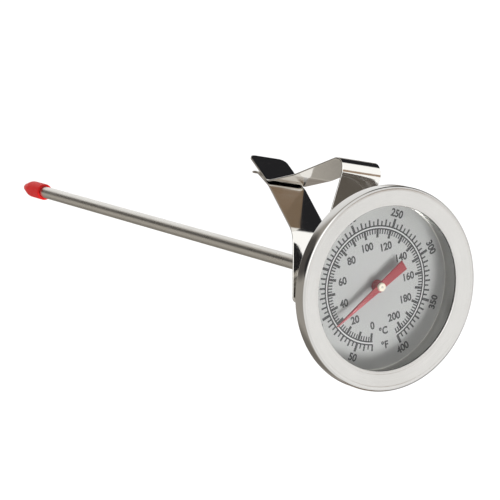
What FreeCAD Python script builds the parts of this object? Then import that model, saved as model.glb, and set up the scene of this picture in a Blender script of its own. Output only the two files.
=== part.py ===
import FreeCAD, Part
import math
import os
import re
import Sketcher

# A bimetal dial thermometer for brewing: a round dial on a long thin stem, with a spring clip that
# rides on the stem and grips the rim of a pot, and a soft guard pushed on the stem's tip.
# The stem hangs down along -Z, the dial faces up along +Z and its twelve o'clock is +Y.
# The origin is on the stem's axis, in the plane of the case's back. Millimetres and degrees.

SIZES = {
    "bezel_outer_radius": 25.7,
    "bezel_face_width": 5.0,
    "bezel_hem_width": 0.75,
    "bezel_dish": 0.97,
    "bezel_land_width": 1.3,
    "bezel_wall": 0.45,
    "bezel_shoulder": 0.85,
    "bezel_lip_width": 2.3,
    "gasket_thickness": 0.3,
    "gasket_setback": 0.05,
    "glass_thickness": 1.0,
    "glass_clearance": 0.45,
    "seal_thickness": 0.3,
    "flange_width": 2.28,
    "case_depth": 8.0,
    "case_wall": 0.4,
    "dial_drop": 6.05,
    "dial_thickness": 0.5,
    "dial_edge_gap": 0.4,
    "dial_hole_radius": 0.9,
    "dial_seat_width": 1.7,
    "spacer_wall": 0.3,
    "spacer_clearance": 0.06,
    "stem_radius": 1.9,
    "stem_wall": 0.25,
    "stem_length": 200.0,
    "stem_top_gap": 0.3,
    "collar_radius": 3.4,
    "collar_neck_radius": 2.6,
    "collar_height": 2.5,
    "collar_lip_width": 0.45,
    "washer_radius": 4.4,
    "washer_thickness": 0.4,
    "plug_head": 0.6,
    "plug_length": 3.0,
    "anchor_length": 4.0,
    "coil_radius": 1.35,
    "coil_wall": 0.25,
    "coil_length": 38.0,
    "coil_collar_radius": 1.3,
    "coil_collar_length": 3.0,
    "coil_collar_bite": 2.0,
    "shaft_radius": 0.3,
    "bush_clearance": 0.05,
    "bush_length": 4.0,
    "bush_inset": 6.0,
    "pointer_height": 1.9,
    "pointer_thickness": 0.35,
    "pointer_tip_reach": 15.5,
    "pointer_tail_reach": 8.7,
    "pointer_tip_width": 0.32,
    "pointer_waist_width": 1.75,
    "pointer_waist_reach": 1.3,
    "pointer_tail_root_width": 2.05,
    "pointer_tail_width": 2.75,
    "boss_radius": 1.55,
    "boss_gap": 0.3,
    "hub_radius": 1.08,
    "hub_height": 0.7,
    "shaft_proud": 0.06,
    "scale_start": 16.0,
    "degrees_per_celsius": 1.605,
    "reading": 31.4,
    "clip_width": 12.0,
    "clip_thickness": 0.4,
    "clip_clearance": 0.08,
    "clip_turn": 22.2,
    "clip_front_top": -17.4,
    "clip_corner": 2.0,
    "guard_radius": 2.66,
    "guard_length": 14.4,
    "guard_tip": 5.5,
    "guard_clearance": 0.05,
}

doc = FreeCAD.newDocument("dial_thermometer")
sheet = doc.addObject("Spreadsheet::Sheet", "Sizes")


def fill_sheet():
    """One row for each driving dimension: its name, its value and the value's alias."""
    for row, (name, value) in enumerate(SIZES.items(), 1):
        sheet.set(f"A{row}", name)
        sheet.set(f"B{row}", str(value))
        sheet.setAlias(f"B{row}", name)
    doc.recompute()


fill_sheet()


def bound(formula):
    """A formula in the names of the sheet, as an expression that the document understands."""
    return re.sub(r"[a-z][a-z_]+", lambda found: "Sizes." + found.group(0), formula)


def value_of(formula):
    """The formula's number at the sheet's present values."""
    return float(sheet.evalExpression(bound(formula)))


# Heights above the case's back, each a formula in the driving dimensions.
DIAL_TOP = "(case_depth - dial_drop)"
DIAL_SEAT = f"({DIAL_TOP} - dial_thickness)"
GLASS_BOTTOM = "(case_depth - bezel_wall - gasket_thickness - glass_thickness)"
BEZEL_BOTTOM = f"({GLASS_BOTTOM} - case_wall - seal_thickness - bezel_wall)"
GLASS_RADIUS = "(bezel_outer_radius - bezel_wall - glass_clearance)"
CASE_RADIUS = f"({GLASS_RADIUS} - flange_width)"
CASE_BORE = f"({CASE_RADIUS} - case_wall)"
OPENING = "(bezel_outer_radius - bezel_face_width)"
STEM_TOP = f"({DIAL_SEAT} - stem_top_gap)"
STEM_BORE = "(stem_radius - stem_wall)"
TUBE_END = "(plug_head - stem_length)"
PLUG_TOP = f"({TUBE_END} + plug_length)"
COIL_BOTTOM = f"({PLUG_TOP} + anchor_length / 2)"
COIL_TOP = f"({COIL_BOTTOM} + coil_length)"
POINTER_BOTTOM = f"({DIAL_TOP} + pointer_height)"
POINTER_TOP = f"({POINTER_BOTTOM} + pointer_thickness)"
HUB_TOP = f"({POINTER_TOP} + hub_height)"


def new_body(name):
    """An empty body whose label is the name of its piece."""
    body = doc.addObject("PartDesign::Body", name)
    body.Label = name
    return body


def new_sketch(body, name, plane):
    """A sketch on one of the body's own origin planes."""
    sketch = body.newObject("Sketcher::SketchObject", name)
    planes = [item for item in body.Origin.OriginFeatures if item.Role == plane]
    sketch.AttachmentSupport = (planes[0], [""])
    sketch.MapMode = "FlatFace"
    return sketch


def add_outline(sketch, corners):
    """A closed outline of straight sides, with both places of every corner bound to the sheet."""
    places = [FreeCAD.Vector(value_of(across), value_of(along), 0) for across, along in corners]
    first = sketch.GeometryCount
    for start, end in zip(places, places[1:] + places[:1]):
        sketch.addGeometry(Part.LineSegment(start, end))
    for index, (across, along) in enumerate(corners):
        line = first + index
        before = first + (index - 1) % len(corners)
        sketch.addConstraint(Sketcher.Constraint("Coincident", before, 2, line, 1))
        for kind, formula in (("DistanceX", across), ("DistanceY", along)):
            number = sketch.addConstraint(
                Sketcher.Constraint(kind, -1, 1, line, 1, value_of(formula)))
            sketch.setExpression(f"Constraints[{number}]", bound(formula))


def add_circle(sketch, formula):
    """A circle about the sketch's origin with its radius bound to the sheet."""
    circle = Part.Circle(FreeCAD.Vector(0, 0, 0), FreeCAD.Vector(0, 0, 1), value_of(formula))
    line = sketch.addGeometry(circle)
    sketch.addConstraint(Sketcher.Constraint("Coincident", line, 3, -1, 1))
    number = sketch.addConstraint(Sketcher.Constraint("Radius", line, value_of(formula)))
    sketch.setExpression(f"Constraints[{number}]", bound(formula))


def lift(body, formula):
    """Put the body's base at a height above the case's back."""
    body.setExpression("Placement.Base.z", bound(formula))


def pad(body, sketch, name, formula):
    """Raise the sketch into a solid of the given height."""
    feature = body.newObject("PartDesign::Pad", name)
    feature.Profile = sketch
    feature.setExpression("Length", bound(formula))
    doc.recompute()
    return feature


def turned(name, corners, base="0"):
    """A body of revolution about its Z axis; each corner is (radius, height above the base)."""
    body = new_body(name)
    sketch = new_sketch(body, f"{name}_section", "XZ_Plane")
    add_outline(sketch, corners)
    feature = body.newObject("PartDesign::Revolution", f"{name}_turning")
    feature.Profile = sketch
    feature.ReferenceAxis = (sketch, ["V_Axis"])
    feature.Angle = 360.0
    lift(body, base)
    doc.recompute()
    return body


def ring(name, outer, inner, thickness, base):
    """A flat ring or a tube, or a disc where the inner radius is left out."""
    body = new_body(name)
    sketch = new_sketch(body, f"{name}_outline", "XY_Plane")
    add_circle(sketch, outer)
    if inner:
        add_circle(sketch, inner)
    pad(body, sketch, f"{name}_pad", thickness)
    lift(body, base)
    doc.recompute()
    return body


NEAR = 1e-4


def circle_edge(radius, height):
    """A test for the round edge of that radius at that height in a body's own coordinates."""
    def matches(edge):
        curve = edge.Curve
        if not isinstance(curve, Part.Circle):
            return False
        near_radius = abs(curve.Radius - value_of(radius)) < NEAR
        return near_radius and abs(curve.Center.z - value_of(height)) < NEAR
    return matches


def round_off(body, name, formula, tests):
    """Fillet the edges that pass one of the tests."""
    edges = body.Tip.Shape.Edges
    names = [f"Edge{number}" for number, edge in enumerate(edges, 1)
             if any(test(edge) for test in tests)]
    if len(names) < len(tests):
        raise RuntimeError(f"{name}: an edge to round was not found")
    base = body.Tip
    feature = body.newObject("PartDesign::Fillet", name)
    feature.Base = (base, names)
    feature.setExpression("Radius", bound(formula))
    doc.recompute()


def make_bezel_ring():
    """The pressed front ring: a flat hem round the glass, a face that rises outward from it to a
    narrow land, a round shoulder, and a wall folded over the case's flange behind the lens."""
    height = f"(case_depth - {BEZEL_BOTTOM})"
    inner_wall = "(bezel_outer_radius - bezel_wall)"
    lip = f"({inner_wall} - bezel_lip_width)"
    hem = f"({OPENING} + bezel_hem_width)"
    land = "(bezel_outer_radius - bezel_land_width)"
    crest = f"({height} + bezel_dish)"
    body = turned("bezel_ring", [
        (OPENING, height), (hem, height), (land, crest), ("bezel_outer_radius", crest),
        ("bezel_outer_radius", "0"), (lip, "0"), (lip, "bezel_wall"),
        (inner_wall, "bezel_wall"), (inner_wall, f"{crest} - bezel_wall"),
        (land, f"{crest} - bezel_wall"),
        (hem, f"{height} - bezel_wall"), (OPENING, f"{height} - bezel_wall")], BEZEL_BOTTOM)
    round_off(body, "bezel_shoulder_round", "bezel_shoulder",
              [circle_edge("bezel_outer_radius", crest)])
    round_off(body, "bezel_back_round", "bezel_wall * 0.9",
              [circle_edge("bezel_outer_radius", "0")])
    round_off(body, "bezel_opening_round", "bezel_wall * 0.4",
              [circle_edge(OPENING, height)])


def make_lens():
    """The glass, the soft gasket in front of it and the seal behind the case's flange."""
    gasket_bore = f"{OPENING} + gasket_setback"
    ring("lens_gasket", GLASS_RADIUS, gasket_bore, "gasket_thickness",
         f"{GLASS_BOTTOM} + glass_thickness")
    ring("lens_glass", GLASS_RADIUS, None, "glass_thickness", GLASS_BOTTOM)
    seal_bore = f"{GLASS_RADIUS} - bezel_lip_width * 0.8"
    ring("case_seal", GLASS_RADIUS, seal_bore, "seal_thickness", f"{BEZEL_BOTTOM} + bezel_wall")


def make_case_cup():
    """The pressed cup: a flange under the lens, a wall, a step that seats the dial, and a back."""
    seat_bore = f"({CASE_BORE} - dial_seat_width)"
    step_outside = f"({seat_bore} + case_wall)"
    body = turned("case_cup", [
        ("collar_neck_radius", "0"), (step_outside, "0"),
        (step_outside, f"{DIAL_SEAT} - case_wall"), (CASE_RADIUS, f"{DIAL_SEAT} - case_wall"),
        (CASE_RADIUS, f"{GLASS_BOTTOM} - case_wall"),
        (GLASS_RADIUS, f"{GLASS_BOTTOM} - case_wall"), (GLASS_RADIUS, GLASS_BOTTOM),
        (CASE_BORE, GLASS_BOTTOM), (CASE_BORE, DIAL_SEAT), (seat_bore, DIAL_SEAT),
        (seat_bore, "case_wall"), ("collar_neck_radius", "case_wall")])
    round_off(body, "case_corner_round", "case_wall * 0.75",
              [circle_edge(step_outside, "0"),
               circle_edge(CASE_RADIUS, f"{DIAL_SEAT} - case_wall")])


def make_dial():
    """The dial disc on the case's step, and the polished ring that stands round its edge."""
    spacer_radius = f"({CASE_BORE} - spacer_clearance)"
    spacer_bore = f"({spacer_radius} - spacer_wall)"
    ring("spacer_ring", spacer_radius, spacer_bore, f"{GLASS_BOTTOM} - {DIAL_SEAT}", DIAL_SEAT)
    ring("dial_plate", f"{spacer_bore} - dial_edge_gap", "dial_hole_radius", "dial_thickness",
         DIAL_SEAT)


def make_stem():
    """The closed tube, the collar that carries it in the case's back, and the collar's washer."""
    lip = "(collar_neck_radius + collar_lip_width)"
    top = f"({STEM_TOP} + collar_height)"
    washer_top = "(collar_height + case_wall + washer_thickness)"
    body = turned("stem_collar", [
        ("stem_radius", "0"), ("collar_radius", "0"), ("collar_radius", "collar_height"),
        ("collar_neck_radius", "collar_height"), ("collar_neck_radius", washer_top),
        (lip, washer_top), (lip, top), ("stem_radius", top)], "-collar_height")
    round_off(body, "collar_round", "collar_height * 0.2", [circle_edge("collar_radius", "0")])
    ring("lock_washer", "washer_radius", "collar_neck_radius", "washer_thickness", "case_wall")
    ring("stem_tube", "stem_radius", STEM_BORE, f"{STEM_TOP} - {TUBE_END}", TUBE_END)
    plug = turned("tip_plug", [
        ("0", "0"), ("stem_radius", "0"), ("stem_radius", "plug_head"),
        (STEM_BORE, "plug_head"), (STEM_BORE, "plug_head + plug_length"),
        ("0", "plug_head + plug_length")], "-stem_length")
    round_off(plug, "plug_round", "plug_head * 0.7", [circle_edge("stem_radius", "0")])


def make_coil():
    """The bimetal coil's envelope, the post that holds its foot and the collar at its head."""
    ring("coil_anchor", "coil_radius - coil_wall", None, "anchor_length", PLUG_TOP)
    ring("bimetal_coil", "coil_radius", "coil_radius - coil_wall", "coil_length", COIL_BOTTOM)
    ring("coil_collar", "coil_collar_radius", "shaft_radius", "coil_collar_length", COIL_TOP)


def make_shaft():
    """The long wire shaft and the three bushes that guide it in the stem."""
    foot = f"({COIL_TOP} + coil_collar_length - coil_collar_bite)"
    ring("pointer_shaft", "shaft_radius", None, f"{HUB_TOP} + shaft_proud - {foot}", foot)
    lowest = f"({COIL_TOP} + coil_collar_length + bush_inset)"
    highest = f"({STEM_TOP} - bush_length)"
    places = {
        "guide_bush_lower": lowest,
        "guide_bush_middle": f"({lowest} + {highest}) / 2",
        "guide_bush_upper": highest,
    }
    for name, base in places.items():
        ring(name, STEM_BORE, "shaft_radius + bush_clearance", "bush_length", base)


def make_pointer():
    """The flat pointer with its boss below and its bright hub above, pressed on the shaft."""
    tip = "pointer_tip_width / 2"
    waist = "pointer_waist_width / 2"
    root = "pointer_tail_root_width / 2"
    tail = "pointer_tail_width / 2"
    body = new_body("pointer")
    sketch = new_sketch(body, "pointer_outline", "XY_Plane")
    add_outline(sketch, [
        ("pointer_tip_reach", f"-{tip}"), ("pointer_tip_reach", tip),
        ("pointer_waist_reach", waist), ("-pointer_waist_reach", root),
        ("-pointer_tail_reach", tail), ("-pointer_tail_reach", f"-{tail}"),
        ("-pointer_waist_reach", f"-{root}"), ("pointer_waist_reach", f"-{waist}")])
    add_circle(sketch, "shaft_radius")
    pad(body, sketch, "pointer_pad", "pointer_thickness")
    lift(body, POINTER_BOTTOM)
    turn = "270 - scale_start - degrees_per_celsius * reading"
    body.setExpression("Placement.Rotation.Angle", bound(turn))
    doc.recompute()
    ring("pointer_boss", "boss_radius", "shaft_radius", "pointer_height - boss_gap",
         f"{DIAL_TOP} + boss_gap")
    hub = ring("pointer_hub", "hub_radius", "shaft_radius", "hub_height", POINTER_TOP)
    round_off(hub, "hub_round", "hub_height * 0.35", [circle_edge("hub_radius", "hub_height")])


def bent_strip(path, bends, thickness):
    """The edges round a strip that follows a path of straight runs joined by tangent bends."""
    runs = [(end - start).normalize() for start, end in zip(path, path[1:])]
    sides = []
    for side in (1.0, -1.0):
        edges = []
        normal = FreeCAD.Vector(-runs[0].y, runs[0].x, 0) * (side * thickness / 2)
        here = path[0] + normal
        for corner, before, after, radius in zip(path[1:-1], runs, runs[1:], bends):
            turn = math.atan2(before.x * after.y - before.y * after.x, before.dot(after))
            inward = FreeCAD.Vector(-before.y, before.x, 0) * math.copysign(1.0, turn)
            tangent = radius * math.tan(abs(turn) / 2)
            centre = corner - before * tangent + inward * radius
            own_radius = radius - math.copysign(1.0, turn) * side * thickness / 2
            start = centre - inward * own_radius
            outward_end = FreeCAD.Vector(after.y, -after.x, 0) * math.copysign(1.0, turn)
            end = centre + outward_end * own_radius
            middle = centre + (outward_end - inward).normalize() * own_radius
            edges.append(("line", here, start))
            edges.append(("arc", start, middle, end))
            here = end
        normal = FreeCAD.Vector(-runs[-1].y, runs[-1].x, 0) * (side * thickness / 2)
        edges.append(("line", here, path[-1] + normal))
        sides.append(edges)
    left, right = sides
    outline = [edge for edge in left]
    outline.append(("line", left[-1][-1], right[-1][-1]))
    outline.extend((edge[0],) + tuple(reversed(edge[1:])) for edge in reversed(right))
    outline.append(("line", right[0][1], left[0][1]))
    return outline


# The clip's middle line, corner by corner, as (reach from the stem, drop below the front leg's
# height at the stem), and the radius of each bend between its first and last points.
CLIP_ROUTE = [
    (21.4, 38.6), (21.95, 35.3), (19.0, 28.1), (8.1, 12.2), (-9.0, 7.1), (-9.0, 1.8),
    (31.3, -6.26), (23.1, 16.4), (19.9, 29.2), (25.8, 40.6)]
CLIP_BENDS = [3.0, 6.0, 8.0, 1.6, 1.6, 3.2, 14.0, 3.0]
CLIP_LIP_DROP = 36.6
CLIP_LIP_CORNERS = 4


def make_pot_clip():
    """One spring strip: two legs threaded on the stem and two lips that pinch the pot's rim."""
    top = value_of("clip_front_top")
    path = [FreeCAD.Vector(reach, top - drop, 0) for reach, drop in CLIP_ROUTE]
    body = new_body("pot_clip")
    sketch = new_sketch(body, "clip_profile", "XZ_Plane")
    for edge in bent_strip(path, CLIP_BENDS, value_of("clip_thickness")):
        if edge[0] == "line":
            sketch.addGeometry(Part.LineSegment(edge[1], edge[2]))
        else:
            sketch.addGeometry(Part.Arc(edge[1], edge[2], edge[3]))
    strip = pad(body, sketch, "clip_pad", "clip_width")
    strip.Midplane = True
    doc.recompute()
    hole = new_sketch(body, "clip_hole", "XY_Plane")
    add_circle(hole, "stem_radius + clip_clearance")
    cut = body.newObject("PartDesign::Pocket", "clip_holes")
    cut.Profile = hole
    cut.Type = "ThroughAll"
    cut.Midplane = True
    doc.recompute()
    thickness = value_of("clip_thickness")

    def lip_corner(edge):
        """The short edges across the strip's thickness at the free ends of both lips."""
        low = edge.BoundBox.ZMax < top - CLIP_LIP_DROP
        return low and abs(edge.Length - thickness) < NEAR
    round_off(body, "clip_corner_round", "clip_corner", [lip_corner] * CLIP_LIP_CORNERS)
    turn = FreeCAD.Rotation(FreeCAD.Vector(0, 0, 1), 90.0 - value_of("clip_turn"))
    body.Placement = FreeCAD.Placement(FreeCAD.Vector(0, 0, 0), turn)
    body.setExpression("Placement.Rotation.Angle", bound("90 - clip_turn"))
    doc.recompute()


def make_tip_guard():
    """The soft bullet-shaped guard pushed on the end of the stem."""
    bore = "(stem_radius + guard_clearance)"
    floor = "(guard_tip - guard_clearance)"
    nose = "(guard_radius * 0.42)"
    shoulder = "(guard_tip * 0.95)"
    body = turned("tip_guard", [
        ("0", "0"), (nose, "0"), ("guard_radius", shoulder), ("guard_radius", "guard_length"),
        (bore, "guard_length"), (bore, floor), ("0", floor)], "-stem_length - guard_tip")
    round_off(body, "guard_nose_round", f"{nose} * 0.8", [circle_edge(nose, "0")])
    round_off(body, "guard_shoulder_round", "guard_radius * 3",
              [circle_edge("guard_radius", shoulder)])
    round_off(body, "guard_mouth_round", "guard_radius * 0.1",
              [circle_edge("guard_radius", "guard_length")])


def collect_pieces():
    """Every body, checked: no failed object, and one valid closed solid in each."""
    for item in doc.Objects:
        if "Invalid" in item.State or "Error" in item.State:
            raise RuntimeError(f"{item.Name} failed: {item.State}")
    bodies = [item for item in doc.Objects if item.TypeId == "PartDesign::Body"]
    for body in bodies:
        shape = body.Shape
        if shape.isNull() or not shape.isValid() or len(shape.Solids) != 1:
            raise RuntimeError(f"{body.Label} is not one valid solid")
    return bodies


make_bezel_ring()
make_lens()
make_case_cup()
make_dial()
make_stem()
make_coil()
make_shaft()
make_pointer()
make_pot_clip()
make_tip_guard()
doc.recompute()
os.makedirs("parts", exist_ok=True)
for piece in collect_pieces():
    piece.Shape.exportStep(f"parts/{piece.Label}.step")
    print(f"{piece.Label}: {piece.Shape.Volume:.3f} mm3")
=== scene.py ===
import math

import bmesh
import bpy
from mathutils import Matrix, Vector


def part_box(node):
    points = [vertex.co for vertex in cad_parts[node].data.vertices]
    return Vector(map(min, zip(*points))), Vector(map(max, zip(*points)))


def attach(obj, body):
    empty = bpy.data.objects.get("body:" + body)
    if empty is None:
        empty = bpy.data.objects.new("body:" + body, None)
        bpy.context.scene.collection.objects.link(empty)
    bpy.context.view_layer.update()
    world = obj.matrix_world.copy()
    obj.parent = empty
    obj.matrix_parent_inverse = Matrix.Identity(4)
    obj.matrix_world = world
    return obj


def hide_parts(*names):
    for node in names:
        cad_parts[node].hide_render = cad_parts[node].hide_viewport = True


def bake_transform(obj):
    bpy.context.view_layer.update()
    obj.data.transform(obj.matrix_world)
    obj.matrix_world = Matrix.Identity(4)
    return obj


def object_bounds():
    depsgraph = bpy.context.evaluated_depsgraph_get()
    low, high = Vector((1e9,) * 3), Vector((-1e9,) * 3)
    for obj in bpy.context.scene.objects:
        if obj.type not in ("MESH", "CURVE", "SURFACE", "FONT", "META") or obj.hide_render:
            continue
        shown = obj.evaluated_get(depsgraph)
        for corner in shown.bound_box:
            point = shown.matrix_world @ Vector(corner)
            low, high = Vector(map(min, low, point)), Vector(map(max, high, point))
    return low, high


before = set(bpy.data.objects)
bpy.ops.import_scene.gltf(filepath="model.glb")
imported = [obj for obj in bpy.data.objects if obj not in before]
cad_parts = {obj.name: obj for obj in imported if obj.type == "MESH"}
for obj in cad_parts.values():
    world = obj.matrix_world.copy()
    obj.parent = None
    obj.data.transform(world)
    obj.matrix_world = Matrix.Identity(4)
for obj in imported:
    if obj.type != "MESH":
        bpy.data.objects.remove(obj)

cad_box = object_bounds()
MM = 0.001

# ---------------------------------------------------------------------------------------------
# Case cup. Thin stainless sheet, pressed into a cup with a flange in front, a step that seats
# the dial and a flat back; the press leaves a soft radius at every corner.

CUP_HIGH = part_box("case_cup")[1]
DIAL_LOW, DIAL_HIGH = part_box("dial_plate")
SHEET = 0.4 * MM
CUP_RADIUS = 22.52 * MM
SEAT_BORE = 20.42 * MM
FLANGE_RADIUS = 24.8 * MM
NECK_RADIUS = 2.6 * MM
PRESS_BEND = 0.3 * MM
TIGHT_BEND = 0.18 * MM
ROUND_STEPS = 6
TURN_SEGMENTS = 256
SHARP_ANGLE = 35.0
SMUDGE_SHARE = 0.35


def rounded(corners):
    """The closed outline through corners (radius, height, fillet), with an arc at each fillet."""
    outline = []
    count = len(corners)
    for index, (across, along, fillet) in enumerate(corners):
        here = Vector((across, along))
        before = Vector(corners[index - 1][:2]) - here
        after = Vector(corners[(index + 1) % count][:2]) - here
        if fillet <= 0.0:
            outline.append(here)
            continue
        half = before.angle(after) / 2
        reach = min(fillet / math.tan(half), before.length * 0.49, after.length * 0.49)
        start = here + before.normalized() * reach
        end = here + after.normalized() * reach
        inward = (before.normalized() + after.normalized()).normalized()
        centre = here + inward * reach / math.cos(half)
        first = start - centre
        second = end - centre
        swing = first.angle_signed(second)
        for step in range(ROUND_STEPS + 1):
            turn = Matrix.Rotation(-swing * step / ROUND_STEPS, 2)
            outline.append(centre + turn @ first)
    return outline


def turned_mesh(name, outline, segments=TURN_SEGMENTS):
    """A solid of revolution about the stem's axis from a closed outline of (radius, height)."""
    mesh = bmesh.new()
    rows = []
    for across, along in outline:
        if across < 1e-9:
            rows.append([mesh.verts.new((0.0, 0.0, along))] * segments)
            continue
        angles = [math.tau * step / segments for step in range(segments)]
        rows.append([mesh.verts.new((across * math.cos(a), across * math.sin(a), along))
                     for a in angles])
    for row, following in zip(rows, rows[1:] + rows[:1]):
        for step in range(segments):
            ahead = (step + 1) % segments
            ring = (row[step], row[ahead], following[ahead], following[step])
            corners = list(dict.fromkeys(ring))
            if len(corners) > 2:
                mesh.faces.new(corners)
    bmesh.ops.remove_doubles(mesh, verts=mesh.verts, dist=1e-8)
    bmesh.ops.recalc_face_normals(mesh, faces=mesh.faces)
    return finished(name, settled(name, mesh))


def settled(name, mesh):
    """Mesh data from a bmesh, which is freed."""
    data = bpy.data.meshes.new(name)
    mesh.to_mesh(data)
    mesh.free()
    return data


def finished(name, data):
    """An object at the origin for a mesh, smooth but for its sharp edges."""
    data.shade_smooth()
    data.set_sharp_from_angle(angle=math.radians(SHARP_ANGLE))
    piece = bpy.data.objects.new(name, data)
    bpy.context.scene.collection.objects.link(piece)
    return piece


def link(tree, start, end):
    tree.links.new(start, end)


def new_group(name, output, **inputs):
    """A shader group with named numbers in and one mask out: its tree, input and output nodes."""
    tree = bpy.data.node_groups.new(name, "ShaderNodeTree")
    for label, value in inputs.items():
        socket = tree.interface.new_socket(
            label.replace("_", " "), in_out="INPUT", socket_type="NodeSocketFloat")
        socket.default_value = value
    tree.interface.new_socket(output, in_out="OUTPUT", socket_type="NodeSocketFloat")
    return tree, tree.nodes.new("NodeGroupInput"), tree.nodes.new("NodeGroupOutput")


def math_node(tree, operation, *values):
    """A math node whose operands are numbers or sockets."""
    node = tree.nodes.new("ShaderNodeMath")
    node.operation = operation
    for slot, value in zip(node.inputs, values):
        if isinstance(value, bpy.types.NodeSocket):
            link(tree, value, slot)
        else:
            slot.default_value = value
    return node.outputs[0]


def make_round_brushing():
    """Fine rings round the stem's axis, as a lathe's brush leaves them, broken up along the arc."""
    tree, source, sink = new_group("round_brushing", "Lines", Lines_per_mm=6.0, Arc_length=3.0)
    place = tree.nodes.new("ShaderNodeTexCoord")
    parts = tree.nodes.new("ShaderNodeSeparateXYZ")
    link(tree, place.outputs["Object"], parts.inputs[0])
    squares = math_node(tree, "ADD", math_node(tree, "POWER", parts.outputs["X"], 2.0),
                        math_node(tree, "POWER", parts.outputs["Y"], 2.0))
    radius = math_node(tree, "SQRT", squares)
    angle = math_node(tree, "ARCTAN2", parts.outputs["Y"], parts.outputs["X"])
    fine = math_node(tree, "MULTIPLY", source.outputs["Lines per mm"], 1.0 / MM)
    join = tree.nodes.new("ShaderNodeCombineXYZ")
    link(tree, math_node(tree, "MULTIPLY", radius, fine), join.inputs["X"])
    link(tree, math_node(tree, "MULTIPLY", angle, source.outputs["Arc length"]), join.inputs["Y"])
    link(tree, math_node(tree, "MULTIPLY", parts.outputs["Z"], fine), join.inputs["Z"])
    noise = tree.nodes.new("ShaderNodeTexNoise")
    noise.inputs["Scale"].default_value = 1.0
    noise.inputs["Detail"].default_value = 3.0
    link(tree, join.outputs[0], noise.inputs["Vector"])
    link(tree, noise.outputs["Fac"], sink.inputs["Lines"])
    return tree


def make_handling():
    """Faint smudges and cloudiness that a handled surface picks up."""
    tree, source, sink = new_group("handling", "Smudge", Size_mm=9.0)
    place = tree.nodes.new("ShaderNodeTexCoord")
    noise = tree.nodes.new("ShaderNodeTexNoise")
    noise.inputs["Detail"].default_value = 5.0
    noise.inputs["Roughness"].default_value = 0.6
    link(tree, place.outputs["Object"], noise.inputs["Vector"])
    scale = math_node(tree, "DIVIDE", 1.0 / MM, source.outputs["Size mm"])
    link(tree, scale, noise.inputs["Scale"])
    ramp = tree.nodes.new("ShaderNodeMapRange")
    ramp.inputs["From Min"].default_value = 0.35
    ramp.inputs["From Max"].default_value = 0.75
    link(tree, noise.outputs["Fac"], ramp.inputs["Value"])
    link(tree, ramp.outputs["Result"], sink.inputs["Smudge"])
    return tree


ROUND_BRUSHING = make_round_brushing()
HANDLING = make_handling()


def place_group(tree, group, **values):
    """A group placed in a material with its own values."""
    node = tree.nodes.new("ShaderNodeGroup")
    node.node_tree = group
    for label, value in values.items():
        node.inputs[label.replace("_", " ")].default_value = value
    return node.outputs[0]


def new_material(name, colour, metallic, roughness):
    """A material with one Principled shader: its tree and that shader are returned with it."""
    material = bpy.data.materials.new(name)
    material.use_nodes = True
    tree = material.node_tree
    shader = tree.nodes["Principled BSDF"]
    shader.inputs["Base Color"].default_value = (*colour, 1.0)
    shader.inputs["Metallic"].default_value = metallic
    shader.inputs["Roughness"].default_value = roughness
    return material, tree, shader


def spread(tree, fac, low, high):
    """Stretch a 0 to 1 mask to run from low to high."""
    node = tree.nodes.new("ShaderNodeMapRange")
    node.inputs["To Min"].default_value = low
    node.inputs["To Max"].default_value = high
    link(tree, fac, node.inputs["Value"])
    return node.outputs["Result"]


def tint(tree, fac, dark, light):
    """A colour between two by a mask."""
    node = tree.nodes.new("ShaderNodeMix")
    node.data_type = "RGBA"
    link(tree, fac, node.inputs["Factor"])
    node.inputs["A"].default_value = (*dark, 1.0)
    node.inputs["B"].default_value = (*light, 1.0)
    return node.outputs["Result"]


def vary(tree, shader, mask, dark, light, low_rough, high_rough):
    """Let one mask move the colour from dark to light and the roughness from low to high."""
    link(tree, tint(tree, mask, dark, light), shader.inputs["Base Color"])
    link(tree, spread(tree, mask, low_rough, high_rough), shader.inputs["Roughness"])


def raise_bump(tree, shader, height, distance):
    """Feed a height mask to the shader's normal; distance is the relief in metres."""
    bump = tree.nodes.new("ShaderNodeBump")
    bump.inputs["Distance"].default_value = distance
    bump.inputs["Strength"].default_value = 1.0
    link(tree, height, bump.inputs["Height"])
    link(tree, bump.outputs["Normal"], shader.inputs["Normal"])


def masked_material(name, colour, metallic, roughness, group, looks, relief=0.0, **numbers):
    """A material whose colour and roughness follow one mask, and its relief where it has one."""
    material, tree, shader = new_material(name, colour, metallic, roughness)
    mask = place_group(tree, group, **numbers)
    vary(tree, shader, mask, *looks)
    if relief:
        raise_bump(tree, shader, mask, relief)
    return material


def make_pressed_steel(name, light, dark, low_rough, high_rough, lines_per_mm, relief):
    """Stainless sheet with round brushing and the marks of handling."""
    material, tree, shader = new_material(name, light, 1.0, low_rough)
    lines = place_group(tree, ROUND_BRUSHING, Lines_per_mm=lines_per_mm)
    smudge = place_group(tree, HANDLING)
    brushed = math_node(tree, "MULTIPLY", lines, 1.0 - SMUDGE_SHARE)
    blend = math_node(tree, "MULTIPLY_ADD", smudge, SMUDGE_SHARE, brushed)
    vary(tree, shader, blend, dark, light, low_rough, high_rough)
    raise_bump(tree, shader, lines, relief)
    return material


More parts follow.
